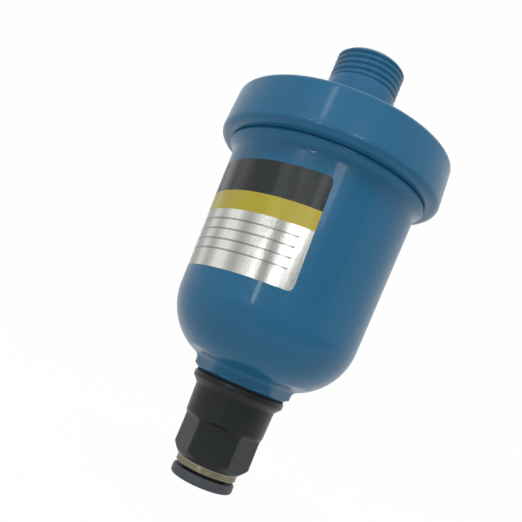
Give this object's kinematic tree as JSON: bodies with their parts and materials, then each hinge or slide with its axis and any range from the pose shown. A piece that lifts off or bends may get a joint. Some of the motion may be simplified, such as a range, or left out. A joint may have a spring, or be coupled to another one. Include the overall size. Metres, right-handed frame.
{
  "type": "automatic drain valve",
  "caption": "Float-operated automatic drain valve: threaded inlet nipple on a round lid, unscrewing blue metal bowl with domed end and hexagonal neck, black push-in tube fitting below.",
  "frame": {"origin": "on the valve's axis at the lower end of the inlet thread, 9.5 mm below the nipple's top face", "axes": "+Z along the axis, up towards the pipe; the hexagonal neck has a flat towards -Y; the pilot lever lies along X with its pivot on +X"},
  "size_m": [0.0664, 0.0664, 0.1297],
  "materials": {
    "blue_paint": "gloss",
    "black_plastic": "satin",
    "black_rubber": "matte",
    "brass": "satin",
    "steel": "satin",
    "white_plastic": "satin"
  },
  "bodies": {
    "lid": {"lid": "blue_paint"},
    "lid_seal": {"lid_seal": "black_rubber"},
    "bowl": {"bowl": "blue_paint", "neck_gasket": "black_rubber", "fitting_body": "black_plastic", "tube_seal": "black_rubber", "seal_washer": "black_plastic", "gripper": "steel", "brass_ring": "brass", "drain_base": "brass", "base_seal": "black_rubber", "valve_housing": "white_plastic", "drain_strainer": "steel", "float_clip": "steel", "pilot_cap": "white_plastic", "cap_seal": "black_rubber", "pilot_nozzle": "brass", "lever_pin": "steel", "piston_spring": "steel"},
    "piston": {"piston": "white_plastic", "piston_seal": "black_rubber", "valve_stem": "brass", "valve_seal": "black_rubber"},
    "float": {"float": "white_plastic"},
    "lever": {"lever": "steel", "pilot_pad": "black_rubber"},
    "release_collar": {"release_collar": "black_plastic"}
  },
  "joints": [
    {"name": "seal_drop", "type": "slide", "parent": "lid", "child": "lid_seal", "axis": [0, 0, -1], "range_m": [0, 0.008]},
    {"name": "bowl_turn", "type": "hinge", "parent": "lid_seal", "child": "bowl", "pos_m": [0, 0, -0.0285], "axis": [0, 0, -1], "range_deg": [0, 1440]},
    {"name": "float_lift", "type": "slide", "parent": "bowl", "child": "float", "axis": [0, 0, 1], "range_m": [0, 0.006]},
    {"name": "lever_swing", "type": "hinge", "parent": "bowl", "child": "lever", "pos_m": [0.0059, 0, -0.04358], "axis": [0, 1, 0], "range_deg": [0, 18.65]},
    {"name": "valve_open", "type": "slide", "parent": "bowl", "child": "piston", "axis": [0, 0, -1], "range_m": [0, 0.0025], "stiffness_N_per_m": 300, "springref_m": -0.004, "deforming": ["piston_spring"]},
    {"name": "collar_push", "type": "slide", "parent": "bowl", "child": "release_collar", "axis": [0, 0, 1], "range_m": [0, 0.00085]}
  ],
  "couplings": [
    {"joint": "seal_drop", "follows": "bowl_turn", "m_per_rad": 0.00031831},
    {"joint": "lever_swing", "follows": "float_lift", "rad_per_m": 54.105}
  ]
}
